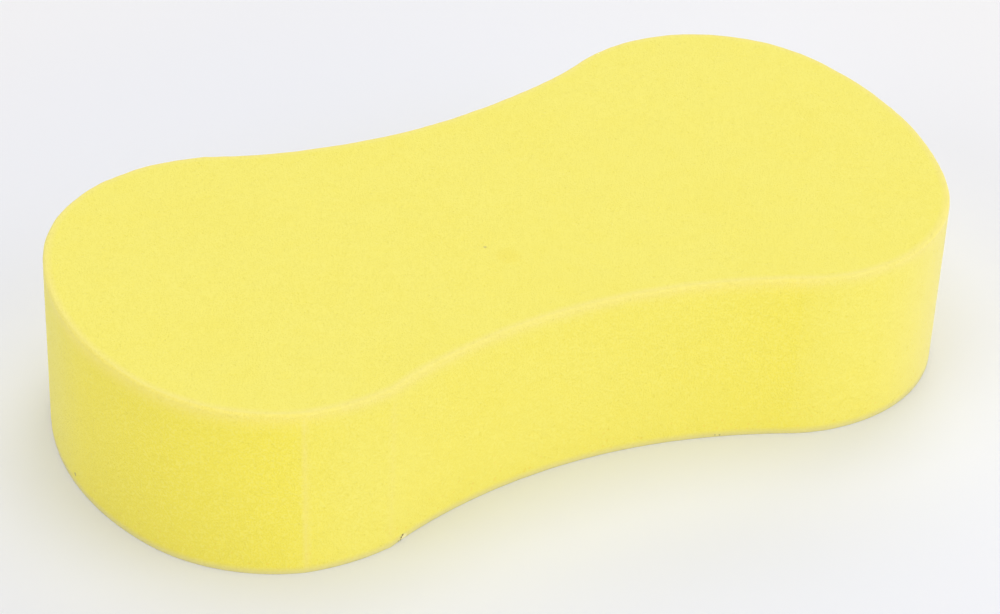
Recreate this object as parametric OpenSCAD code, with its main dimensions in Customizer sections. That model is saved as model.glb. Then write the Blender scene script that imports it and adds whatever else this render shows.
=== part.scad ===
// Figure-eight cleaning sponge, cut from one slab of open-cell foam, in millimetres.
//
// The outline is a chain of arcs. Each lobe has a blunt end arc that runs smoothly into a
// tighter corner arc on each side. Between the lobes a shallow hollow on each side makes the
// waist. The hollows run smoothly out of the large lobe. On the small lobe the shoulders are
// cut flat, so an upright crease stands where each flat meets the corner arc, and another
// where it meets the hollow.
//
// The origin is the middle of the underside. +X points to the large lobe's tip and +Z up.

/* [Slab] */
// Length from tip to tip
sponge_l = 220; // [205:1:240]
// Thickness of the slab
slab_t = 44.5; // [30:0.5:60]
// Radius of the softened rim round the top and the underside
rim_r = 0.5; // [0.2:0.1:3]

/* [Large lobe] */
// Full width of the large lobe
large_w = 113.5; // [106:0.5:122]
// Radius of its blunt end
large_end_r = 80; // [68:1:95]

/* [Small lobe] */
// Full width that the small lobe would have with its shoulders left round
small_w = 107; // [102:0.5:113]
// Radius of its blunt end
small_end_r = 70; // [60:1:85]
// How far its blunt end sits off the long centre line, towards +Y
small_shift = 1.6; // [0:0.1:4]
// Depth that is cut off each shoulder to make it flat
flat_cut = 1.9; // [0.6:0.1:3]
// How far a flat shoulder still bulges in its middle
flat_crown = 1.1; // [0:0.1:1.5]

/* [Waist] */
// Width of the waist
waist_w = 83; // [74:0.5:92]
// Radius of the hollow on each side
waist_r = 130; // [115:1:150]

/* [Ends] */
// Angle that a blunt end arc turns through on each side of its tip
end_turn = 24.5; // [16:0.5:32]

/* [Hidden] */
ARC_STEP = 3;
FLAT_STEPS = 6;
RIM_STEPS = 3;
FOAM_YELLOW = [0.96, 0.92, 0.45];

function polar(r, angle) = [r * cos(angle), r * sin(angle)];
function heading(v) = atan2(v.y, v.x);
function unit(v) = v / norm(v);

// Points along an arc about a centre. The last point is left to the stretch that follows.
function arc(centre, r, start, stop) =
    let (steps = ceil(abs(stop - start) / ARC_STEP))
    [for (i = [0 : steps - 1]) centre + polar(r, start + (stop - start) * i / steps)];

// Points from one corner to the next with a crown between them, also without the last point.
function crowned(from, to, crown) =
    [for (i = [0 : FLAT_STEPS - 1])
        let (t = i / FLAT_STEPS)
        from + (to - from) * t + [0, 4 * crown * t * (1 - t)]];

function flipped_x(path) = [for (p = path) [-p.x, p.y]];

// A lobe is worked out with its tip towards +X. Its end arc and corner arc share a tangent
// where they meet, and the corner arc just reaches half of the lobe's width.
function end_centre(end_r, shift) = [sponge_l / 2 - end_r, shift];
function corner_r(w, end_r, shift) =
    (w / 2 - shift - end_r * sin(end_turn)) / (1 - sin(end_turn));
function corner_centre(w, end_r, shift) =
    end_centre(end_r, shift) + polar(end_r - corner_r(w, end_r, shift), end_turn);

large_corner = corner_centre(large_w, large_end_r, 0);
large_corner_r = corner_r(large_w, large_end_r, 0);

// The hollow's circle touches the large lobe's corner circle, so the two arcs run together.
hollow_y = waist_w / 2 + waist_r;
hollow_rise = hollow_y - large_corner.y;
hollow = [large_corner.x - sqrt(pow(waist_r + large_corner_r, 2) - pow(hollow_rise, 2)), hollow_y];
blend_angle = heading(hollow - large_corner);

// The flat's two creases: on the hollow, and on the small lobe's corner arc.
flat_y = small_w / 2 - flat_cut;
hollow_crease = [hollow.x - sqrt(pow(waist_r, 2) - pow(hollow.y - flat_y, 2)), flat_y];
function crease_angle(shift) = asin(1 - flat_cut / corner_r(small_w, small_end_r, shift));
function lobe_crease(shift) =
    corner_centre(small_w, small_end_r, shift)
    + polar(corner_r(small_w, small_end_r, shift), crease_angle(shift));

// One side of the outline, above the long centre line, from the large tip to the small one.
function side(shift) = concat(
    arc(end_centre(large_end_r, 0), large_end_r, 0, end_turn),
    arc(large_corner, large_corner_r, end_turn, blend_angle),
    arc(hollow, waist_r, blend_angle - 180, heading(hollow_crease - hollow)),
    crowned(hollow_crease, flipped_x([lobe_crease(shift)])[0], flat_crown),
    flipped_x(arc(corner_centre(small_w, small_end_r, shift),
        corner_r(small_w, small_end_r, shift), crease_angle(shift), end_turn)),
    flipped_x(arc(end_centre(small_end_r, shift), small_end_r, end_turn, 0)));

// The whole outline, anticlockwise. The far side is the near side's construction mirrored,
// with the small lobe's shift the other way.
function outline() =
    let (near = side(small_shift), far = side(-small_shift))
    concat(near, [[-sponge_l / 2, small_shift]],
        [for (i = [len(far) - 1 : -1 : 1]) [far[i].x, -far[i].y]]);

// A closed path moved inwards by the same distance along every edge.
function inset(path, distance) =
    let (count = len(path))
    [for (i = [0 : count - 1])
        let (before = unit(path[i] - path[(i + count - 1) % count]),
            after = unit(path[(i + 1) % count] - path[i]),
            outward = [before.y + after.y, -before.x - after.x])
        path[i] - outward * distance / (1 + before * after)];

// How far the wall is drawn in, and at what height, up through the lower rim.
rim = [for (k = [0 : RIM_STEPS])
    let (angle = 90 * k / RIM_STEPS)
    [rim_r * (1 - sin(angle)), rim_r * (1 - cos(angle))]];
levels = concat(rim, [for (k = [RIM_STEPS : -1 : 0]) [rim[k][0], slab_t - rim[k][1]]]);

// The foam block: rings of the outline up the wall, closed by a fan on each flat face.
module sponge() {
    path = outline();
    count = len(path);
    top = count * (len(levels) - 1);
    middle = count * len(levels);
    rings = [for (level = levels) for (p = inset(path, level[0])) [p.x, p.y, level[1]]];
    walls = [for (k = [0 : len(levels) - 2]) for (i = [0 : count - 1])
        let (a = k * count + i, b = k * count + (i + 1) % count)
        [a, a + count, b + count, b]];
    underside = [for (i = [0 : count - 1]) [middle, i, (i + 1) % count]];
    upper = [for (i = [0 : count - 1]) [middle + 1, top + (i + 1) % count, top + i]];
    color(FOAM_YELLOW)
    polyhedron(concat(rings, [[0, 0, 0], [0, 0, slab_t]]), concat(walls, underside, upper));
}

sponge();
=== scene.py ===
"""Figure-eight cleaning sponge: the dressed foam block, its studio and its camera.

Lengths are in metres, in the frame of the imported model: +X runs to the large lobe's
tip, +Y across the sponge and +Z up, and the origin is the middle of the underside.
"""

from __future__ import annotations

import logging
import math
from collections.abc import Mapping, Sequence
from dataclasses import dataclass, field, replace
from enum import Enum
from typing import Any

import bpy
from mathutils import Matrix, Vector, noise


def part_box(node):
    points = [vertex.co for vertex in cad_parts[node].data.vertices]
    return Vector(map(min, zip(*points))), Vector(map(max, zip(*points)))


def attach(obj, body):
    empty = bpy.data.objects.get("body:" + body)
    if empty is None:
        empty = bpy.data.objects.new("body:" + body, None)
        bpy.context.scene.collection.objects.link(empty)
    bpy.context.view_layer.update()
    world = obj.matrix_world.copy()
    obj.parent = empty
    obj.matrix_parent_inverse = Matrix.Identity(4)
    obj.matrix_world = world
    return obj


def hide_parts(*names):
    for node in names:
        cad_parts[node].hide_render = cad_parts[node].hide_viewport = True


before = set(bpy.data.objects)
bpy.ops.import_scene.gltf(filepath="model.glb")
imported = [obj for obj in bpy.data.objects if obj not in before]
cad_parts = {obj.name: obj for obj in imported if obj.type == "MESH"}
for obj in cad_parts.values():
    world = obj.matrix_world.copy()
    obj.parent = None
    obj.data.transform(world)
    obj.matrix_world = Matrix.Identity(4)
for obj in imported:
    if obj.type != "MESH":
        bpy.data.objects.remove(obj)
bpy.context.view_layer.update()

log = logging.getLogger("sponge")

NODE = "sponge"
BODY = "root"
MM = 0.001

Colour = tuple[float, float, float]
Place = tuple[float, float, float]
Span = tuple[float, float]
Named = Mapping[str, Any]


# Shader maths


class Operation(Enum):
    """The Math node operations that expressions on wires use."""

    ADD = "ADD"
    SUBTRACT = "SUBTRACT"
    MULTIPLY = "MULTIPLY"
    DIVIDE = "DIVIDE"
    GREATER = "GREATER_THAN"
    MAXIMUM = "MAXIMUM"
    MINIMUM = "MINIMUM"


@dataclass(frozen=True)
class Wire:
    """An output socket that takes part in Python expressions.

    Args:
        bench: The bench whose tree holds the socket.
        socket: The output socket itself.
    """

    bench: Bench
    socket: bpy.types.NodeSocket

    def _with(self, operation: Operation, first: Wire | float, second: Wire | float) -> Wire:
        """The result of one Math node on two values."""
        values = {"Value": first, "Value_001": second}
        return self.bench.add("ShaderNodeMath", {"operation": operation.value}, values, "Value")

    def __add__(self, other: Wire | float) -> Wire:
        """This value plus another."""
        return self._with(Operation.ADD, self, other)

    def __radd__(self, other: float) -> Wire:
        """A number plus this value."""
        return self._with(Operation.ADD, other, self)

    def __sub__(self, other: Wire | float) -> Wire:
        """This value less another."""
        return self._with(Operation.SUBTRACT, self, other)

    def __rsub__(self, other: float) -> Wire:
        """A number less this value."""
        return self._with(Operation.SUBTRACT, other, self)

    def __mul__(self, other: Wire | float) -> Wire:
        """This value times another."""
        return self._with(Operation.MULTIPLY, self, other)

    def __rmul__(self, other: float) -> Wire:
        """A number times this value."""
        return self._with(Operation.MULTIPLY, other, self)

    def __truediv__(self, other: Wire | float) -> Wire:
        """This value over another."""
        return self._with(Operation.DIVIDE, self, other)

    def __gt__(self, other: Wire | float) -> Wire:
        """1 where this value is the greater, otherwise 0."""
        return self._with(Operation.GREATER, self, other)

    def most(self, other: Wire | float) -> Wire:
        """The larger of this value and another."""
        return self._with(Operation.MAXIMUM, self, other)

    def least(self, other: Wire | float) -> Wire:
        """The smaller of this value and another."""
        return self._with(Operation.MINIMUM, self, other)

    def output(self, key: str) -> Wire:
        """Another output of the node that this one comes from."""
        return Wire(self.bench, Bench.socket(self.socket.node.outputs, key))

    def step(self, low: float, high: float) -> Wire:
        """A smooth step from 0 at low to 1 at high, or down where low is the larger.

        Args:
            low: The value at which the step is 0.
            high: The value at which the step is 1.

        Returns:
            The step, from 0 to 1.
        """
        limits = {"Value": self, "From Min": low, "From Max": high}
        return self.bench.add(
            "ShaderNodeMapRange", {"interpolation_type": "SMOOTHSTEP"}, limits, "Result"
        )


class Bench:
    """The node tree of one material or world, to which nodes are added one by one."""

    def __init__(self, owner: bpy.types.Material | bpy.types.World) -> None:
        """Empties the owner's node tree.

        Args:
            owner: The material or world that is to be built.
        """
        owner.use_nodes = True
        self.tree = owner.node_tree
        self.tree.nodes.clear()

    @staticmethod
    def socket(sockets: Any, key: str) -> bpy.types.NodeSocket:
        """The socket with that identifier, which tells sockets of one name apart."""
        return next(socket for socket in sockets if socket.identifier == key)

    def node(self, kind: str, settings: Named, values: Named) -> bpy.types.Node:
        """Adds a node, sets it up and feeds its sockets.

        Args:
            kind: The node's type.
            settings: Its settings by name, which are set before the sockets.
            values: A number, a colour, a vector or a wire for each socket, by identifier.

        Returns:
            The node.
        """
        node = self.tree.nodes.new(kind)
        for name, setting in settings.items():
            setattr(node, name, setting)
        for key, value in values.items():
            socket = self.socket(node.inputs, key)
            if isinstance(value, Wire):
                self.tree.links.new(value.socket, socket)
            else:
                socket.default_value = value
        return node

    def add(self, kind: str, settings: Named, values: Named, output: str) -> Wire:
        """Adds a node and takes a wire from one of its outputs.

        Args:
            kind: The node's type.
            settings: Its settings by name.
            values: What its sockets get, by identifier.
            output: The identifier of the output that is wanted.

        Returns:
            The wire.
        """
        return Wire(self, self.socket(self.node(kind, settings, values).outputs, output))

    def finish(self, kind: str, surface: Wire) -> None:
        """Feeds the surface into the tree's output node, which is of the given kind."""
        self.node(kind, {}, {"Surface": surface})

    def place(self) -> Wire:
        """The shaded point's place in the object's own frame, in metres."""
        return self.add("ShaderNodeTexCoord", {}, {}, "Object")

    def attribute(self, name: str) -> Wire:
        """A value that the mesh keeps for each of its points."""
        return self.add("ShaderNodeAttribute", {"attribute_name": name}, {}, "Fac")

    def height(self) -> Wire:
        """How high the shaded point stands in the object's own frame."""
        return self.add("ShaderNodeSeparateXYZ", {}, {"Vector": self.place()}, "Z")

    def stretched(self, factors: Place) -> Wire:
        """The shaded point's place with each axis multiplied by its own factor."""
        values = {"Vector": self.place(), "Vector_001": factors}
        return self.add("ShaderNodeVectorMath", {"operation": "MULTIPLY"}, values, "Vector")

    def distance(self, point: Place) -> Wire:
        """How far the shaded point lies from a point of the object."""
        values = {"Vector": self.place(), "Vector_001": point}
        return self.add("ShaderNodeVectorMath", {"operation": "DISTANCE"}, values, "Value")

    def blotches(self, size: float, detail: float = 2.0, vector: Wire | None = None) -> Wire:
        """Soft noise about 0.5.

        Args:
            size: How large its patches are, in metres.
            detail: How many finer layers lie on them.
            vector: The place that it is read at, if not the shaded point's own.

        Returns:
            The noise, from 0 to 1.
        """
        values = {"Vector": vector or self.place(), "Scale": 1 / size, "Detail": detail}
        return self.add("ShaderNodeTexNoise", {}, values, "Fac")

    def cells(self, size: float) -> Wire:
        """How far the shaded point lies from the middle of its foam cell.

        Args:
            size: A cell's width, in metres.

        Returns:
            The distance, counted in cells.
        """
        values = {"Vector": self.place(), "Scale": 1 / size}
        return self.add("ShaderNodeTexVoronoi", {"feature": "F1"}, values, "Distance")

    def mix(self, share: Wire | float, first: Wire | Colour, second: Wire | Colour) -> Wire:
        """One colour where the share is 0, turning into another where it is 1.

        Args:
            share: How much of the second colour there is.
            first: A colour or a wire that carries one.
            second: A colour or a wire that carries one.

        Returns:
            The mixed colour.
        """
        values = {
            "Factor_Float": share,
            "A_Color": first if isinstance(first, Wire) else (*first, 1.0),
            "B_Color": second if isinstance(second, Wire) else (*second, 1.0),
        }
        return self.add("ShaderNodeMix", {"data_type": "RGBA"}, values, "Result_Color")


# Finishes


class Tone(Enum):
    """What a mark on the foam is, with its colour."""

    GRIT = (0.10, 0.06, 0.03)
    GREY_DUST = (0.42, 0.38, 0.20)
    DENSE_FOAM = (0.91, 0.78, 0.11)
    FRAYED_FOAM = (0.95, 0.88, 0.52)


class Draw(Enum):
    """The numbers that each large cell draws, with the colour channel of each."""

    OPENED = "Red"
    FLECK = "Green"


@dataclass(frozen=True)
class Mark:
    """A small blemish on the foam.

    Args:
        centre: Where it lies.
        radius: How far it reaches.
        tone: What it is.
        strength: How much of its tone shows, from 0 to 1.
        solid: The share of its radius within which all of that shows.
    """

    centre: Place
    radius: float
    tone: Tone
    strength: float
    solid: float = 0.35

    def over(self, colour: Wire, ragged: Wire) -> Wire:
        """The foam's colour with this mark laid over it.

        Args:
            colour: The colour under it.
            ragged: How far its edge strays, in shares of its radius.

        Returns:
            The colour.
        """
        reach = colour.bench.distance(self.centre) / self.radius + ragged
        shown = reach.step(1.0, self.solid) * self.strength
        return colour.bench.mix(shown, colour, self.tone.value)


@dataclass(frozen=True)
class Share:
    """How much of something shows, by the value of a pattern.

    Args:
        most: How much of it shows at the most, from 0 to 1.
        start: The pattern's value at which it starts to show.
        full: The pattern's value at which it shows most.
    """

    most: float
    start: float
    full: float

    def by(self, pattern: Wire) -> Wire:
        """How much of it shows by that pattern."""
        return pattern.step(self.start, self.full) * self.most


@dataclass(frozen=True)
class Layer:
    """A tone that lies over the foam's colour.

    Args:
        tone: Its colour.
        share: How much of it shows.
    """

    tone: Colour
    share: Share

    def over(self, colour: Wire | Colour, pattern: Wire, where: Wire) -> Wire:
        """A colour with this tone laid over it.

        Args:
            colour: The colour under it.
            pattern: What the tone's share goes by.
            where: A mask for it, from 0 to 1.

        Returns:
            The colour.
        """
        return pattern.bench.mix(self.share.by(pattern) * where, colour, self.tone)


@dataclass(frozen=True)
class Skin:
    """What the foam's finish goes by at the shaded point.

    Args:
        bench: The bench that the finish is made on.
        cells: The distance from the middle of the nearest cell.
        large: The distance from the middle of the nearest large cell.
        clouds: Small soft clouds.
        height: The height above the underside.
        facing: How far the wall faces +X, for its painted light and shade.
        wall: 1 on the wall and 0 on the flat faces.
    """

    bench: Bench
    cells: Wire
    large: Wire
    clouds: Wire
    height: Wire
    facing: Wire
    wall: Wire


@dataclass(frozen=True)
class FoamFinish:
    """Pale yellow open-cell foam, cut so that its cells stand open.

    Walls that face away from +X get painted shade, and walls that face +X painted light.

    Args:
        body: The foam's own colour.
        dense: Its colour where it is denser.
        patches: How much of that shows in broad patches, by their noise.
        clouds: How much of it shows in small clouds, by their noise.
        painted_shade: The deeper yellow of the painted shade on the walls.
        painted_shade_side: How much of that shows, by how the wall faces.
        painted_shade_all_round: How much painted shade every wall gets.
        low_painted_shade: Darker painted shade low on the shaded walls, by how the wall faces.
        low_painted_shade_height: How far up that reaches.
        painted_light_under_rim: Painted light high on the shaded walls, by how the wall faces.
        painted_light_under_rim_heights: Where that starts to show, and where it shows most.
        painted_light: The paler painted light on the walls that face +X.
        painted_light_most: How much of that shows at the most.
        painted_light_facing: How the wall faces where it starts to show, and shows most.
        face_grain: How strongly the cells show on the flat faces.
        wall_grain: How much more strongly they show on the wall.
        pores: The tone inside a cell, by the distance from its middle.
        struts: The tone between the cells, by the same distance.
        opened_dark: How much darker a large opened cell is.
        opened_rim: The distances from its middle at which it starts and is deepest.
        opened_draw: What a large cell has to draw to be an opened one.
        flecks: The orange flecks, by the distance from a large cell's middle.
        fleck_draw: What a large cell has to draw to be a fleck.
        fleck_height: How far up the flecks reach.
        painted_rim_light: The pale painted light along the rims and the creases.
        pale_most: How much of that shows at the most.
        painted_shade_rim: How much less of it shows on shaded rims, by how the wall faces.
        rim_light_patches: How much more of it shows in the clouds, by their noise.
        foot: The painted contact shade along the foot, by the height.
        stray: How far a mark's edge strays, in shares of the mark's radius.
        cell: A cell's width.
        large_cell: A large cell's width.
        patch: A patch's width.
        cloud: A cloud's width.
        ragged: The width of one stray of a mark's edge.
        streak: The width of a streak that the blade has left.
        streak_squash: The share that heights count for in a streak, which draws it out.
        streak_depth: How deep the streaks are, in shares of a cell's depth.
        pore_rim: The distances from a cell's middle between which it rises.
        pore_depth: How deep a cell is.
        relief_show: How strongly the relief shows.
        roughness: The foam's roughness.
        gloss: Its specular level.
        sheen: How much soft sheen it has.
        sheen_roughness: The sheen's roughness.
        marks: The blemishes.
    """

    body: Colour = (0.935, 0.842, 0.164)
    dense: Colour = (0.925, 0.810, 0.118)
    patches: Share = Share(0.25, 0.35, 0.75)
    clouds: Share = Share(0.20, 0.40, 0.70)
    # Painted shade and painted light of the walls, by how each wall faces +X.
    painted_shade: Colour = (0.955, 0.828, 0.073)
    painted_shade_side: Share = Share(0.62, 0.0, -0.7)
    painted_shade_all_round: float = 0.08
    low_painted_shade: Layer = Layer((0.895, 0.780, 0.075), Share(1.0, -0.3, -0.9))
    low_painted_shade_height: float = 34 * MM
    painted_light_under_rim: Layer = Layer((0.998, 0.860, 0.150), Share(0.9, 0.0, -0.5))
    painted_light_under_rim_heights: Span = (38.5 * MM, 44 * MM)
    painted_light: Colour = (0.945, 0.835, 0.310)
    painted_light_most: float = 0.74
    painted_light_facing: Span = (-0.2, 1.0)
    face_grain: float = 0.5
    wall_grain: float = 0.3
    pores: Layer = Layer((0.900, 0.785, 0.098), Share(0.55, 0.45, 0.10))
    struts: Layer = Layer((0.955, 0.872, 0.215), Share(0.60, 0.45, 0.85))
    opened_dark: float = 0.45
    opened_rim: Span = (0.42, 0.18)
    opened_draw: float = 0.80
    flecks: Layer = Layer((0.900, 0.640, 0.080), Share(0.30, 0.40, 0.20))
    fleck_draw: float = 0.85
    fleck_height: float = 16 * MM
    # Painted light along the rims and creases.
    painted_rim_light: Colour = (0.955, 0.825, 0.300)
    pale_most: float = 0.9
    painted_shade_rim: Share = Share(0.35, 0.0, -0.7)
    rim_light_patches: Share = Share(0.4, 0.1, 0.6)
    # Painted contact shade along the foot.
    foot: Layer = Layer((0.775, 0.700, 0.300), Share(0.9, 2.4 * MM, 0.0))
    stray: float = 0.8
    cell: float = 0.45 * MM
    large_cell: float = 1.1 * MM
    patch: float = 26 * MM
    cloud: float = 5 * MM
    ragged: float = 0.7 * MM
    streak: float = 2.2 * MM
    streak_squash: float = 0.03
    streak_depth: float = 0.5
    pore_rim: Span = (0.05, 0.65)
    pore_depth: float = 0.12 * MM
    relief_show: float = 0.55
    roughness: float = 0.95
    gloss: float = 0.12
    sheen: float = 0.25
    sheen_roughness: float = 0.4
    marks: tuple[Mark, ...] = ()

    def skin(self, bench: Bench) -> Skin:
        """What the finish goes by at the shaded point."""
        return Skin(
            bench=bench,
            cells=bench.cells(self.cell),
            large=bench.cells(self.large_cell),
            clouds=bench.blotches(self.cloud),
            height=bench.height(),
            facing=bench.attribute("facing"),
            wall=bench.attribute("wall"),
        )

    def colour(self, skin: Skin) -> Wire:
        """The foam's colour, from its broad patches down to its marks.

        Args:
            skin: What the finish goes by.

        Returns:
            The colour.
        """
        bench = skin.bench
        patches = self.patches.by(bench.blotches(self.patch))
        colour = bench.mix(patches + self.clouds.by(skin.clouds), self.body, self.dense)
        # walled() lays on the walls' painted light and shade.
        colour = self.grained(skin, self.walled(skin, colour))
        # Painted light along the rims and creases.
        colour = self.rimmed(skin, colour)
        # Painted contact shade along the foot of the walls.
        colour = self.foot.over(colour, skin.height, skin.wall)
        ragged = (bench.blotches(self.ragged) - 0.5) * self.stray
        for mark in self.marks:
            colour = mark.over(colour, ragged)
        return colour

    def walled(self, skin: Skin, colour: Wire) -> Wire:
        """The colour with the walls' painted light and shade, which change round the sponge.

        Args:
            skin: What the finish goes by.
            colour: The colour under them.

        Returns:
            The colour.
        """
        facing, wall, mix = skin.facing, skin.wall, skin.bench.mix
        # Painted shade: deeper yellow on walls that face away from +X, darker low down.
        low = skin.height.step(self.low_painted_shade_height, 0.0)
        painted_shade = self.low_painted_shade.over(self.painted_shade, facing, low)
        colour = mix(self.painted_shade_side.by(facing) + wall * self.painted_shade_all_round, colour, painted_shade)
        # Painted light: paler on walls that face +X.
        end = facing.step(*self.painted_light_facing)
        colour = mix(end * end * wall * self.painted_light_most, colour, self.painted_light)
        # Painted light high on the shaded walls, just under the top rim.
        return self.painted_light_under_rim.over(colour, facing, skin.height.step(*self.painted_light_under_rim_heights))

    def grained(self, skin: Skin, colour: Wire) -> Wire:
        """The colour with the cells, the large opened ones and the flecks.

        Args:
            skin: What the finish goes by.
            colour: The colour under them.

        Returns:
            The colour.
        """
        grain = skin.wall * self.wall_grain + self.face_grain
        colour = self.pores.over(colour, skin.cells, grain)
        colour = self.struts.over(colour, skin.cells, grain)
        dark = self.opened(skin) * grain * self.opened_dark
        colour = skin.bench.mix(dark, colour, self.pores.tone)
        low = skin.height.step(self.fleck_height, 0.0)
        drawn = self.draw(skin, Draw.FLECK) > self.fleck_draw
        return self.flecks.over(colour, skin.large, drawn * low)

    def rimmed(self, skin: Skin, colour: Wire) -> Wire:
        """The colour with the painted light of the pale rims and creases.

        Args:
            skin: What the finish goes by.
            colour: The colour under them.

        Returns:
            The colour.
        """
        # Painted rim light, less of it on shaded rims and patchy in the clouds.
        rim = skin.bench.attribute("rim") * (1 - self.painted_shade_rim.by(skin.facing))
        pale = rim.most(skin.bench.attribute("crease"))
        soft = self.rim_light_patches.by(skin.clouds) + (1 - self.rim_light_patches.most)
        return skin.bench.mix((pale * soft).least(self.pale_most), colour, self.painted_rim_light)

    @staticmethod
    def draw(skin: Skin, which: Draw) -> Wire:
        """A number from 0 to 1 that is the same all over a large cell."""
        values = {"Color": skin.large.output("Color")}
        return skin.bench.add("ShaderNodeSeparateColor", {}, values, which.value)

    def opened(self, skin: Skin) -> Wire:
        """1 in the middle of the few large cells that the cut has opened."""
        drawn = self.draw(skin, Draw.OPENED) > self.opened_draw
        return skin.large.step(*self.opened_rim) * drawn

    def relief(self, skin: Skin) -> Wire:
        """The normal of the cut face, with its cells and the blade's faint streaks.

        Args:
            skin: What the finish goes by.

        Returns:
            The normal.
        """
        drawn_out = skin.bench.stretched((1.0, 1.0, self.streak_squash))
        streaks = skin.bench.blotches(self.streak, detail=1.0, vector=drawn_out)
        depth = skin.cells.step(*self.pore_rim) + streaks * self.streak_depth
        values = {
            "Strength": self.relief_show,
            "Distance": self.pore_depth,
            "Height": depth - self.opened(skin),
        }
        return skin.bench.add("ShaderNodeBump", {}, values, "Normal")

    def material(self) -> bpy.types.Material:
        """Makes the foam material.

        Returns:
            The material.
        """
        material = bpy.data.materials.new("yellow_foam")
        bench = Bench(material)
        skin = self.skin(bench)
        values = {
            "Base Color": self.colour(skin),
            "Normal": self.relief(skin),
            "Roughness": self.roughness,
            "Specular IOR Level": self.gloss,
            "Sheen Weight": self.sheen,
            "Sheen Roughness": self.sheen_roughness,
        }
        surface = bench.add("ShaderNodeBsdfPrincipled", {}, values, "BSDF")
        bench.finish("ShaderNodeOutputMaterial", surface)
        return material


@dataclass(frozen=True)
class FloorFinish:
    """A plain pale tabletop, matt, with a trace of unevenness and a cooler middle.

    Args:
        colour: Its colour.
        shade: Its colour where a patch lies.
        middle: Painted light round the sponge, a cooler tone against its yellow bounce.
        middle_radii: How far out the middle's colour starts to show and shows most.
        patch: A patch's width.
        roughness: The tabletop's roughness.
        gloss: Its specular level.
    """

    colour: Colour = (0.892, 0.884, 0.894)
    shade: Colour = (0.882, 0.874, 0.884)
    middle: Colour = (0.866, 0.877, 0.942)
    middle_radii: Span = (0.24, 0.10)
    patch: float = 0.35
    roughness: float = 0.9
    gloss: float = 0.1

    def material(self) -> bpy.types.Material:
        """Makes the floor material.

        Returns:
            The material.
        """
        material = bpy.data.materials.new("pale_floor")
        bench = Bench(material)
        colour = bench.mix(bench.blotches(self.patch), self.colour, self.shade)
        # Painted light: the floor round the sponge is cooler, against the sponge's yellow bounce.
        middle = bench.distance((0.0, 0.0, 0.0)).step(*self.middle_radii)
        values = {
            "Base Color": bench.mix(middle, colour, self.middle),
            "Roughness": self.roughness,
            "Specular IOR Level": self.gloss,
        }
        surface = bench.add("ShaderNodeBsdfPrincipled", {}, values, "BSDF")
        bench.finish("ShaderNodeOutputMaterial", surface)
        return material


# The outline


def polar(radius: float, angle: float) -> Vector:
    """The vector of that length at that angle from +X."""
    return Vector((radius * math.cos(angle), radius * math.sin(angle)))


def heading(step: Vector) -> float:
    """The angle of a vector from +X."""
    return math.atan2(step.y, step.x)


def arc(centre: Vector, radius: float, start: float, stop: float, spacing: float) -> list[Vector]:
    """Points along an arc, without its last point.

    Args:
        centre: The arc's centre.
        radius: Its radius.
        start: The angle that it starts at.
        stop: The angle that it stops at.
        spacing: The longest way between two points.

    Returns:
        The points in order.
    """
    steps = math.ceil(abs(stop - start) * radius / spacing)
    return [centre + polar(radius, start + (stop - start) * i / steps) for i in range(steps)]


def flipped(path: Sequence[Vector]) -> list[Vector]:
    """A path mirrored from one end of the sponge to the other."""
    return [Vector((-point.x, point.y)) for point in path]


@dataclass(frozen=True)
class Lobe:
    """One end of the sponge, worked out with its tip towards +X.

    The blunt end's arc turns smoothly into a tighter corner arc, which just reaches half
    of the lobe's width.

    Args:
        half_length: From the sponge's middle to the tip.
        width: The lobe's full width, with its shoulders left round.
        end_radius: The radius of the blunt end.
        shift: How far the blunt end sits off the long centre line.
        end_turn: The angle that the end's arc turns through on this side of the tip.
    """

    half_length: float
    width: float
    end_radius: float
    shift: float = 0.0
    end_turn: float = math.radians(24.5)

    @property
    def end_centre(self) -> Vector:
        """The centre of the blunt end's arc."""
        return Vector((self.half_length - self.end_radius, self.shift))

    @property
    def corner_radius(self) -> float:
        """The radius of the corner arc."""
        slant = math.sin(self.end_turn)
        return (self.width / 2 - self.shift - self.end_radius * slant) / (1 - slant)

    @property
    def corner(self) -> Vector:
        """The centre of the corner arc."""
        return self.end_centre + polar(self.end_radius - self.corner_radius, self.end_turn)


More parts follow.
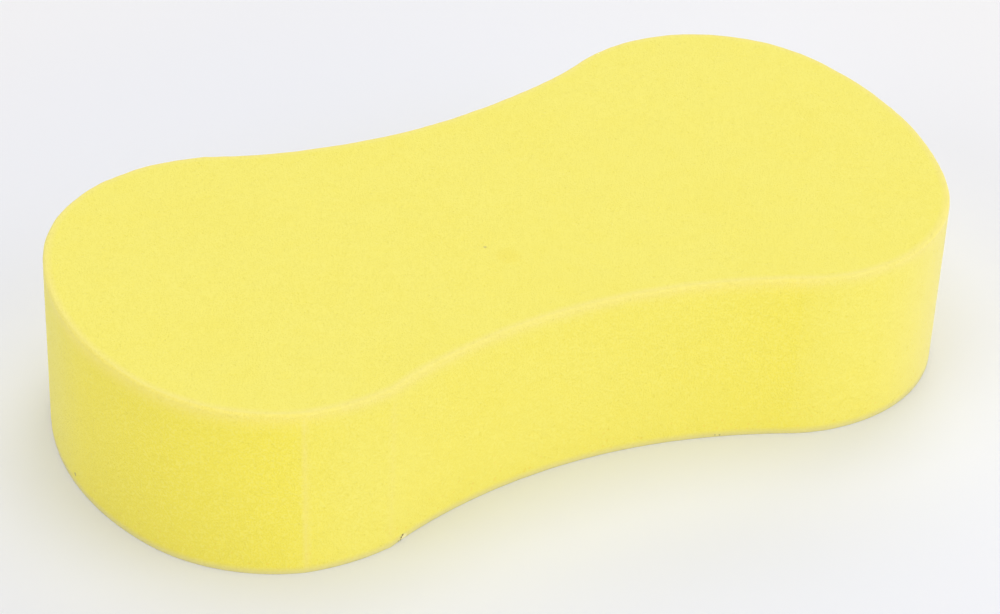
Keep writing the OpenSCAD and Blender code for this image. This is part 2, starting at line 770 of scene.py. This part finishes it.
@dataclass(frozen=True)
class Outline:
    """The sponge's figure-eight outline.

    Args:
        length: From tip to tip.
        large_width: The width of the large lobe.
        large_end_radius: The radius of its blunt end.
        small_width: The width that the small lobe would have with round shoulders.
        small_end_radius: The radius of its blunt end.
        small_shift: How far its blunt end sits off the centre line, towards +Y.
        flat_cut: The depth cut off each shoulder.
        flat_crown: How far a flat shoulder still bulges.
        waist_width: The width of the waist.
        waist_radius: The radius of the hollow on each side.
        spacing: The longest way between two points of the outline.
    """

    length: float
    large_width: float
    large_end_radius: float = 80 * MM
    small_width: float = 107 * MM
    small_end_radius: float = 70 * MM
    small_shift: float = 1.6 * MM
    flat_cut: float = 1.9 * MM
    flat_crown: float = 1.1 * MM
    waist_width: float = 83 * MM
    waist_radius: float = 130 * MM
    spacing: float = 0.9 * MM

    @property
    def large(self) -> Lobe:
        """The large lobe."""
        return Lobe(self.length / 2, self.large_width, self.large_end_radius)

    def small(self, shift: float) -> Lobe:
        """The small lobe, as seen from one side, with its tip turned towards +X."""
        return Lobe(self.length / 2, self.small_width, self.small_end_radius, shift)

    @property
    def hollow(self) -> Vector:
        """The centre of the waist's arc on the +Y side, which touches the large corner's."""
        high = self.waist_width / 2 + self.waist_radius
        reach = self.waist_radius + self.large.corner_radius
        run = math.sqrt(reach**2 - (high - self.large.corner.y) ** 2)
        return Vector((self.large.corner.x - run, high))

    def blend(self) -> Vector:
        """Where the +Y side's hollow runs out into the large lobe."""
        turn = heading(self.hollow - self.large.corner)
        return self.large.corner + polar(self.large.corner_radius, turn)

    def inner_crease(self) -> Vector:
        """Where the +Y side's flat shoulder meets the waist's arc.

        Returns:
            The point.
        """
        flat = self.small_width / 2 - self.flat_cut
        run = math.sqrt(self.waist_radius**2 - (self.hollow.y - flat) ** 2)
        return Vector((self.hollow.x - run, flat))

    def crease_angle(self, lobe: Lobe) -> float:
        """How far round the small lobe's corner arc the flat shoulder starts."""
        return math.asin(1 - self.flat_cut / lobe.corner_radius)

    def outer_crease(self, shift: float) -> Vector:
        """Where the +Y side's flat shoulder meets the small lobe's corner arc.

        Args:
            shift: How far the small lobe's end sits towards this side.

        Returns:
            The point.
        """
        lobe = self.small(shift)
        reach = polar(lobe.corner_radius, self.crease_angle(lobe))
        return flipped([lobe.corner + reach])[0]

    def side(self, shift: float) -> list[Vector]:
        """The +Y side of the outline, from the large tip to the small one.

        Args:
            shift: How far the small lobe's end sits towards this side.

        Returns:
            Its points, without the small tip.
        """
        large, small, hollow = self.large, self.small(shift), self.hollow
        blend = heading(hollow - large.corner)
        inner, outer = self.inner_crease(), self.outer_crease(shift)
        turn = self.crease_angle(small)
        steps = math.ceil((outer - inner).length / self.spacing)
        shares = [i / steps for i in range(steps)]
        crown = [Vector((0, 4 * self.flat_crown * t * (1 - t))) for t in shares]
        step = self.spacing
        return [
            *arc(large.end_centre, large.end_radius, 0, large.end_turn, step),
            *arc(large.corner, large.corner_radius, large.end_turn, blend, step),
            *arc(hollow, self.waist_radius, blend - math.pi, heading(inner - hollow), step),
            *(inner.lerp(outer, t) + bulge for t, bulge in zip(shares, crown)),
            *flipped(arc(small.corner, small.corner_radius, turn, small.end_turn, step)),
            *flipped(arc(small.end_centre, small.end_radius, small.end_turn, 0, step)),
        ]

    def points(self) -> list[Vector]:
        """The whole outline, anticlockwise.

        Returns:
            Its points, from the large tip on.
        """
        near, far = self.side(self.small_shift), self.side(-self.small_shift)
        tip = Vector((-self.length / 2, self.small_shift))
        return near + [tip] + [Vector((p.x, -p.y)) for p in reversed(far[1:])]


# The foam block


@dataclass(frozen=True)
class Swell:
    """A stretch of wall that stands a little proud of the outline, or lies inside it.

    Args:
        centre: The middle of the stretch.
        proud: How far the wall stands out there, or lies inside where it is negative.
        reach: How soon that dies away along the wall.
    """

    centre: tuple[float, float]
    proud: float
    reach: float

    def at(self, place: Vector) -> float:
        """How far the wall stands proud at one place."""
        away = (place - Vector(self.centre)).length / self.reach
        return self.proud * math.exp(-(away**2))


@dataclass(frozen=True)
class Station:
    """One point of the outline, with what the skin needs to know there.

    Args:
        place: The point itself.
        outward: The wall's outward direction.
        along: The direction that the outline runs in.
        rim: The rim's own radius there.
        crease: How much of the pale crease line, which is painted light, shows there.
        facing: How far the wall faces +X, from -1 to 1, for its painted light and shade.
        lean: How far the wall's bottom is drawn along the outline, and its top back.
    """

    place: Vector
    outward: Vector
    along: Vector
    rim: float
    crease: float
    facing: float
    lean: float


@dataclass(frozen=True)
class Ring:
    """One closed ring of the block's skin.

    Args:
        inset: How far it lies in from the wall, past the rim's own turn.
        height: How high it lies, before the rim's own turn.
        turned_in: The share of the rim's radius by which it lies further in.
        turned_up: The share of the rim's radius by which it lies higher.
        share: How much of the way out from the middle it keeps.
        pale: How much of the painted rim light shows there.
    """

    inset: float
    height: float
    turned_in: float = 0.0
    turned_up: float = 0.0
    share: float = 1.0
    pale: float = 0.0


@dataclass
class FoamBlock:
    """The sponge itself: one block of foam cut from a slab.

    Args:
        outline: Its outline.
        thickness: The slab's thickness.
        swells: Where its wall strays from the outline.
        rim_radius: How far its upper rim is softened.
        rim_change: The share by which that radius comes and goes along the rim.
        rim_wave: How far apart it does so.
        under_inset: How far in the lower rim turns, in shares of the upper one.
        under_rise: How far up the lower rim turns, in shares of the upper one.
        band: How wide the pale band of painted rim light is that runs in from a rim.
        face_pale: How much of the painted rim light shows where a face meets the rim.
        wall_pale: How much of it shows where the wall meets the rim.
        wall_fade: How far down the wall that dies away.
        under_pale: The share of it that shows along the underside.
        crease_line: How far a crease's pale line of painted light reaches to either side.
        crease_show: How much of it shows at the front outer crease.
        faint_crease: The share of that which shows at the inner one.
        crease_dark_side: How much less of it shows on the side of the small end.
        lean: How far the front outer crease's foot is drawn along the outline.
        lean_turn: How far its top is drawn back from there, in shares of that.
        lean_reach: How soon the lean dies away along the wall.
        lean_end: How far from the crease it stops.
        lobe_painted_shade: How much further the small lobe counts as facing away from +X.
        back_painted_light: How much further its back counts as facing +X.
        back_span: The outward directions, along Y, between which that comes in.
        shoulder_painted_shade: How much further the shoulder's outer end faces away from +X.
        far_painted_light: How much further the large lobe counts as facing +X.
        waviness: How far the wall and the top wander off true.
        wave: How far apart they do so.
        wave_squash: The share that heights count for in that.
        grain: How far the foam's own grain stands out of the skin.
        grain_size: How large the grain is.
        top_power: How steeply the top's wander comes in with the height.
        rim_steps: How many rings a rim turns through.
        wall_steps: How many steps the wall is cut into.
        wall_clear: How many of them are left clear for each rim.
        band_steps: How many rings a pale band has.
        face_steps: How many rings each flat face has within it.
        finish: The foam's finish.
    """

    outline: Outline
    thickness: float
    swells: Sequence[Swell] = ()
    rim_radius: float = 0.75 * MM
    rim_change: float = 0.3
    rim_wave: float = 10 * MM
    under_inset: float = 0.3
    under_rise: float = 0.3
    band: float = 1.6 * MM
    face_pale: float = 0.5
    wall_pale: float = 0.45
    wall_fade: float = 5.2 * MM
    under_pale: float = 0.2
    crease_line: float = 0.9 * MM
    crease_show: float = 0.36
    faint_crease: float = 0.4
    crease_dark_side: float = 0.8
    lean: float = 0.5 * MM
    lean_turn: float = 1.45
    lean_reach: float = 8 * MM
    lean_end: float = 16 * MM
    # Shifts of the facing value, which deepen the painted shade on some stretches and lighten it
    # on others.
    lobe_painted_shade: float = 0.22
    back_painted_light: float = 1.1
    back_span: Span = (-0.4, 0.1)
    shoulder_painted_shade: float = 0.20
    far_painted_light: float = 0.12
    waviness: float = 0.25 * MM
    wave: float = 38 * MM
    wave_squash: float = 0.4
    grain: float = 0.05 * MM
    grain_size: float = 2.4 * MM
    top_power: int = 4
    rim_steps: int = 6
    wall_steps: int = 36
    wall_clear: int = 2
    band_steps: int = 7
    face_steps: int = 26
    finish: FoamFinish = field(default_factory=FoamFinish)

    def stations(self) -> list[Station]:
        """The outline's points with their directions and the rim and crease there.

        Returns:
            The stations in order.
        """
        path = self.outline.points()
        outer = self.outline.outer_crease(-self.outline.small_shift)
        inner = self.outline.inner_crease()
        creases = Vector((outer.x, -outer.y)), Vector((inner.x, -inner.y))
        return [
            self.station(*(path[(i + step) % len(path)] for step in (-1, 0, 1)), *creases)
            for i in range(len(path))
        ]

    def station(
        self, before: Vector, place: Vector, after: Vector, outer: Vector, inner: Vector
    ) -> Station:
        """One station of the outline.

        Args:
            before: The outline's point before it.
            place: The point itself.
            after: The point after it.
            outer: Where the front shoulder meets the small lobe's corner arc.
            inner: Where the front shoulder meets the waist's arc.

        Returns:
            The station.
        """
        along = (after - before).normalized()
        outward = Vector((along.y, -along.x))
        change = noise.noise(place.to_3d() / self.rim_wave)
        near = 1.0 if (place - outer).length < self.lean_end else 0.0
        past = (place - outer).dot(along)
        beyond = 1.0 if place.x < outer.x else 0.0
        lines = [
            share * math.exp(-((((place - crease).length) / self.crease_line) ** 2))
            for crease, share in ((outer, 1.0), (inner, self.faint_crease))
        ]
        swell = sum(swell.at(place) for swell in self.swells)
        return Station(
            place=place + outward * swell,
            outward=outward,
            along=along,
            rim=self.rim_radius * (1 + self.rim_change * change),
            crease=self.crease_show * max(lines) * (1 - beyond * self.crease_dark_side),
            facing=self.facing(place, outward, outer.x, inner.x),
            lean=near * self.lean * math.exp(-((past / self.lean_reach) ** 2)),
        )

    def facing(self, place: Vector, outward: Vector, outer: float, inner: float) -> float:
        """How far the wall faces +X, the lit side, as its painted light and shade take it.

        Args:
            place: The wall's place on the outline.
            outward: Its outward direction.
            outer: How far along the sponge the shoulder's outer crease stands.
            inner: How far along the sponge its inner crease stands.

        Returns:
            1 towards +X and -1 or less away from it.
        """
        # Each stretch shifts how far it counts as facing +X, for its painted light and shade.
        if place.x < outer:
            low, high = self.back_span
            back = min(max((outward.y - low) / (high - low), 0.0), 1.0)
            return outward.x - self.lobe_painted_shade + self.back_painted_light * back
        if place.x < inner:
            share = (place.x - inner) / (outer - inner)
            return min(outward.x, 0.0) - self.shoulder_painted_shade * share
        if place.x < self.outline.blend().x:
            return min(outward.x, 0.0)
        return outward.x + self.far_painted_light

    def rings(self) -> list[Ring]:
        """The skin's rings from the middle of the underside to the middle of the top.

        Returns:
            The rings in order.
        """
        half = self.half_rings()
        steps = range(self.wall_clear, self.wall_steps - self.wall_clear + 1)
        heights = [self.thickness * i / self.wall_steps for i in steps]
        fades = [max(1 - (self.thickness - height) / self.wall_fade, 0.0) for height in heights]
        wall = [Ring(0, z, pale=self.wall_pale * fade**2) for z, fade in zip(heights, fades)]
        under = [
            replace(
                ring,
                turned_in=ring.turned_in * self.under_inset,
                turned_up=ring.turned_up * self.under_rise,
                pale=ring.pale * self.under_pale,
            )
            for ring in half
        ]
        over = [
            replace(ring, height=self.thickness, turned_up=-ring.turned_up)
            for ring in reversed(half)
        ]
        return under + wall + over

    def half_rings(self) -> list[Ring]:
        """The rings of one flat face and its rim, from the face's middle outwards.

        Returns:
            The rings in order.
        """
        shares = [(i + 1) / (self.face_steps + 1) for i in range(self.face_steps)]
        face = [Ring(self.band, 0, 1, share=share) for share in shares]
        fades = [i / self.band_steps for i in range(self.band_steps)]
        band = [Ring(self.band * (1 - fade), 0, 1, pale=self.face_pale * fade) for fade in fades]
        turns = [math.pi / 2 * i / self.rim_steps for i in range(self.rim_steps + 1)]
        change = self.wall_pale - self.face_pale
        rim = [
            Ring(0, 0, 1 - sine, 1 - math.cos(turn), pale=self.face_pale + change * sine)
            for turn, sine in zip(turns, map(math.sin, turns))
        ]
        return face + band + rim

    def skin_point(self, station: Station, ring: Ring) -> Vector:
        """Where the skin's point lies at one station of one ring.

        Args:
            station: The station.
            ring: The ring.

        Returns:
            The point, with its wander.
        """
        inset = ring.inset + ring.turned_in * station.rim
        height = ring.height + ring.turned_up * station.rim
        lean = station.lean * (1 - self.lean_turn * height / self.thickness)
        flat = (station.place - station.outward * inset + station.along * lean) * ring.share
        point = flat.to_3d()
        point.z = height
        return point + self.wander(point, station.outward.to_3d(), ring.share)

    def wander(self, point: Vector, outward: Vector, share: float) -> Vector:
        """How far the skin's point lies off true.

        Args:
            point: The true point.
            outward: The wall's outward direction there.
            share: 1 on the wall and round the rims, and less towards a face's middle.

        Returns:
            The step off true. The underside stays flat, because the block lies on it.
        """
        squashed = Vector((point.x, point.y, point.z * self.wave_squash))
        broad = noise.noise(squashed / self.wave)
        fine = noise.noise(point / self.grain_size)
        off = broad * self.waviness + fine * self.grain
        up = off * min(point.z / self.thickness, 1.0) ** self.top_power
        side = off if share == 1.0 else 0.0
        return outward * side + Vector((0, 0, up))

    def mesh(self) -> bpy.types.Mesh:
        """The skin as one closed mesh, with its rim and crease kept for the finish.

        Returns:
            The mesh.
        """
        stations, rings = self.stations(), self.rings()
        count, last = len(stations), len(rings) - 1
        skin = [self.skin_point(station, ring) for ring in rings for station in stations]
        centres = [Vector((0, 0, 0)), Vector((0, 0, self.thickness))]
        pairs = [(i, (i + 1) % count) for i in range(count)]
        around = [
            (k * count + i, k * count + j, (k + 1) * count + j, (k + 1) * count + i)
            for k in range(last)
            for i, j in pairs
        ]
        under = [(len(skin), j, i) for i, j in pairs]
        over = [(len(skin) + 1, last * count + i, last * count + j) for i, j in pairs]
        mesh = bpy.data.meshes.new("foam_block")
        mesh.from_pydata(skin + centres, [], around + under + over)
        mesh.shade_smooth()
        # The rim and crease values carry painted light; facing carries painted light and shade.
        self.keep(mesh, "rim", [ring.pale for ring in rings for _ in stations])
        walls = [float(ring.inset == 0.0) * max(1 - ring.turned_in, 0.0) for ring in rings]
        self.keep(mesh, "crease", [wall * s.crease for wall in walls for s in stations])
        self.keep(mesh, "facing", [wall * s.facing for wall in walls for s in stations])
        self.keep(mesh, "wall", [wall for wall in walls for _ in stations])
        return mesh

    @staticmethod
    def keep(mesh: bpy.types.Mesh, name: str, values: Sequence[float]) -> None:
        """Keeps a value for each of the mesh's points, with 0 for those left over.

        Args:
            mesh: The mesh.
            name: The value's name.
            values: The value for each point, in order.
        """
        spare = [0.0] * (len(mesh.vertices) - len(values))
        attribute = mesh.attributes.new(name, "FLOAT", "POINT")
        attribute.data.foreach_set("value", [*values, *spare])

    def dress(self, piece: bpy.types.Object) -> None:
        """Gives the block its finish."""
        piece.data.materials.append(self.finish.material())

    def build(self) -> bpy.types.Object:
        """Makes the block, dresses it and sets it in the frame in the CAD solid's place.

        Returns:
            The block.
        """
        piece = bpy.data.objects.new("foam_sponge", self.mesh())
        bpy.context.scene.collection.objects.link(piece)
        self.dress(piece)
        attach(piece, BODY)
        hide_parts(NODE)
        return piece


# Studio and camera


@dataclass(frozen=True)
class SoftBox:
    """A large soft lamp that faces the sponge.

    Args:
        name: What it is called.
        place: Where it hangs.
        width: Its width.
        depth: Its depth.
        power: Its power, in watts.
    """

    name: str
    place: Place
    width: float
    depth: float
    power: float

    def hang(self) -> bpy.types.Object:
        """Hangs the lamp.

        Returns:
            The lamp.
        """
        lamp = bpy.data.lights.new(self.name, "AREA")
        lamp.shape = "RECTANGLE"
        lamp.size = self.width
        lamp.size_y = self.depth
        lamp.energy = self.power
        piece = bpy.data.objects.new(self.name, lamp)
        piece.location = self.place
        piece.rotation_euler = Vector(self.place).to_track_quat("Z", "Y").to_euler()
        bpy.context.scene.collection.objects.link(piece)
        return piece


@dataclass(frozen=True)
class Studio:
    """The pale floor, the even sky and the soft lamps.

    Args:
        floor_radius: How far the floor reaches.
        floor_corners: How many corners its round edge has.
        floor: The floor's finish.
        sky: The sky's colour as it lights the sponge.
        sky_strength: How bright that light is.
        backdrop: The sky's colour as seen by the camera and in reflections.
        lamps: The soft lamps.
    """

    floor_radius: float = 6.0
    floor_corners: int = 96
    floor: FloorFinish = FloorFinish()
    sky: Colour = (0.99, 0.99, 1.0)
    sky_strength: float = 0.51
    backdrop: Colour = (0.87, 0.87, 0.89)
    lamps: tuple[SoftBox, ...] = (
        SoftBox("overhead_lamp", (0.0, 0.3, 2.6), 2.2, 2.0, 20.7),
        SoftBox("back_right_lamp", (1.9, 1.8, 1.3), 2.0, 1.6, 18.8),
        SoftBox("front_right_lamp", (1.8, -1.8, 1.2), 2.0, 1.6, 15.6),
        SoftBox("left_lamp", (-2.6, -0.4, 1.2), 2.0, 1.6, 15.0),
        SoftBox("low_front_lamp", (0.3, -2.6, 0.5), 2.0, 0.9, 13.1),
    )

    def lay_floor(self) -> bpy.types.Object:
        """Lays the floor under the sponge.

        Returns:
            The floor.
        """
        turns = [math.tau * i / self.floor_corners for i in range(self.floor_corners)]
        rim = [polar(self.floor_radius, turn).to_3d() for turn in turns]
        mesh = bpy.data.meshes.new("floor")
        mesh.from_pydata(rim, [], [range(self.floor_corners)])
        mesh.materials.append(self.floor.material())
        piece = bpy.data.objects.new("floor", mesh)
        bpy.context.scene.collection.objects.link(piece)
        return piece

    def hang_sky(self) -> None:
        """Makes the sky, which lights evenly and looks like the floor's far edge."""
        world = bpy.data.worlds.new("studio_sky")
        bpy.context.scene.world = world
        bench = Bench(world)
        seen = bench.add("ShaderNodeLightPath", {}, {}, "Is Camera Ray")
        plain = seen.most(seen.output("Is Glossy Ray")).most(seen.output("Is Transmission Ray"))
        values = {
            "Color": bench.mix(plain, self.sky, self.backdrop),
            "Strength": plain * (1 - self.sky_strength) + self.sky_strength,
        }
        surface = bench.add("ShaderNodeBackground", {}, values, "Background")
        bench.finish("ShaderNodeOutputWorld", surface)

    def build(self) -> None:
        """Sets up the whole studio."""
        self.lay_floor()
        self.hang_sky()
        for lamp in self.lamps:
            lamp.hang()
        bpy.context.scene.view_settings.view_transform = "Standard"


@dataclass(frozen=True)
class Viewpoint:
    """Where the camera stands and how it looks at the sponge.

    Args:
        azimuth: Its angle round the sponge in degrees, from straight in front.
        elevation: Its angle above the floor, in degrees.
        roll: How far it is turned about its own axis, in degrees.
        distance: How far it stands from the point that it looks at.
        right: How far that point lies to the right of the origin, as it sees it.
        up: How far that point lies above the origin, as it sees it.
        lens: Its focal length, in millimetres.
    """

    azimuth: float = -29.3
    elevation: float = 35.2
    roll: float = 2.74
    distance: float = 0.802
    right: float = 0.4 * MM
    up: float = 14.0 * MM
    lens: float = 118.8

    def build(self) -> bpy.types.Object:
        """Makes the camera and sets it as the scene's.

        Returns:
            The camera.
        """
        turn = math.radians(self.azimuth)
        rise = math.radians(self.elevation)
        back = Vector((
            math.sin(turn) * math.cos(rise),
            -math.cos(turn) * math.cos(rise),
            math.sin(rise),
        ))
        level = Vector((math.cos(turn), math.sin(turn), 0))
        upright = back.cross(level)
        spin = Matrix.Rotation(math.radians(self.roll), 3, back)
        right, up = spin @ level, spin @ upright
        place = right * self.right + up * self.up + back * self.distance
        camera = bpy.data.objects.new("camera", bpy.data.cameras.new("camera"))
        camera.data.lens = self.lens
        camera.matrix_world = Matrix((right, up, back)).transposed().to_4x4()
        camera.location = place
        bpy.context.scene.collection.objects.link(camera)
        bpy.context.scene.camera = camera
        return camera


# Building


MARKS = (
    Mark((-50.4 * MM, -49.9 * MM, 0.3 * MM), 1.3 * MM, Tone.FRAYED_FOAM, 0.8),
    Mark((-50.8 * MM, -50.1 * MM, 1.3 * MM), 0.42 * MM, Tone.GRIT, 0.8),
    Mark((-51.2 * MM, -50.3 * MM, 0.8 * MM), 0.40 * MM, Tone.GRIT, 0.9),
    Mark((-51.4 * MM, -50.3 * MM, 0.2 * MM), 0.36 * MM, Tone.GRIT, 0.8),
    Mark((-52.1 * MM, -50.6 * MM, 0.2 * MM), 0.38 * MM, Tone.GRIT, 0.5),
    Mark((33.2 * MM, -47.0 * MM, 0.6 * MM), 0.35 * MM, Tone.GREY_DUST, 0.7),
    Mark((34.3 * MM, -47.4 * MM, 0.5 * MM), 0.32 * MM, Tone.GREY_DUST, 0.9),
    Mark((-110.0 * MM, -0.5 * MM, 2.9 * MM), 0.7 * MM, Tone.GREY_DUST, 0.8),
    Mark((-11.1 * MM, -10.9 * MM, 44.5 * MM), 0.6 * MM, Tone.GREY_DUST, 0.5),
    Mark((-8.0 * MM, -16.4 * MM, 44.5 * MM), 4.0 * MM, Tone.DENSE_FOAM, 0.5),
)
SWELLS = (
    Swell((-69 * MM, 52.7 * MM), 0.95 * MM, 9 * MM),
    Swell((-37 * MM, 45.6 * MM), -0.4 * MM, 15 * MM),
    Swell((18 * MM, 43.5 * MM), 0.4 * MM, 22 * MM),
    Swell((104 * MM, 30 * MM), 0.6 * MM, 16 * MM),
)


def main() -> None:
    """Builds the sponge, its studio and its camera, and logs the block's face count."""
    logging.basicConfig(level=logging.INFO, format="%(name)s: %(message)s")
    Viewpoint().build()
    Studio().build()
    low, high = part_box(NODE)
    size = high - low
    outline = Outline(length=size.x, large_width=size.y)
    finish = FoamFinish(marks=MARKS)
    block = FoamBlock(outline, thickness=size.z, swells=SWELLS, finish=finish).build()
    log.info("%s has %d faces", block.name, len(block.data.polygons))


if __name__ == "__main__":
    main()
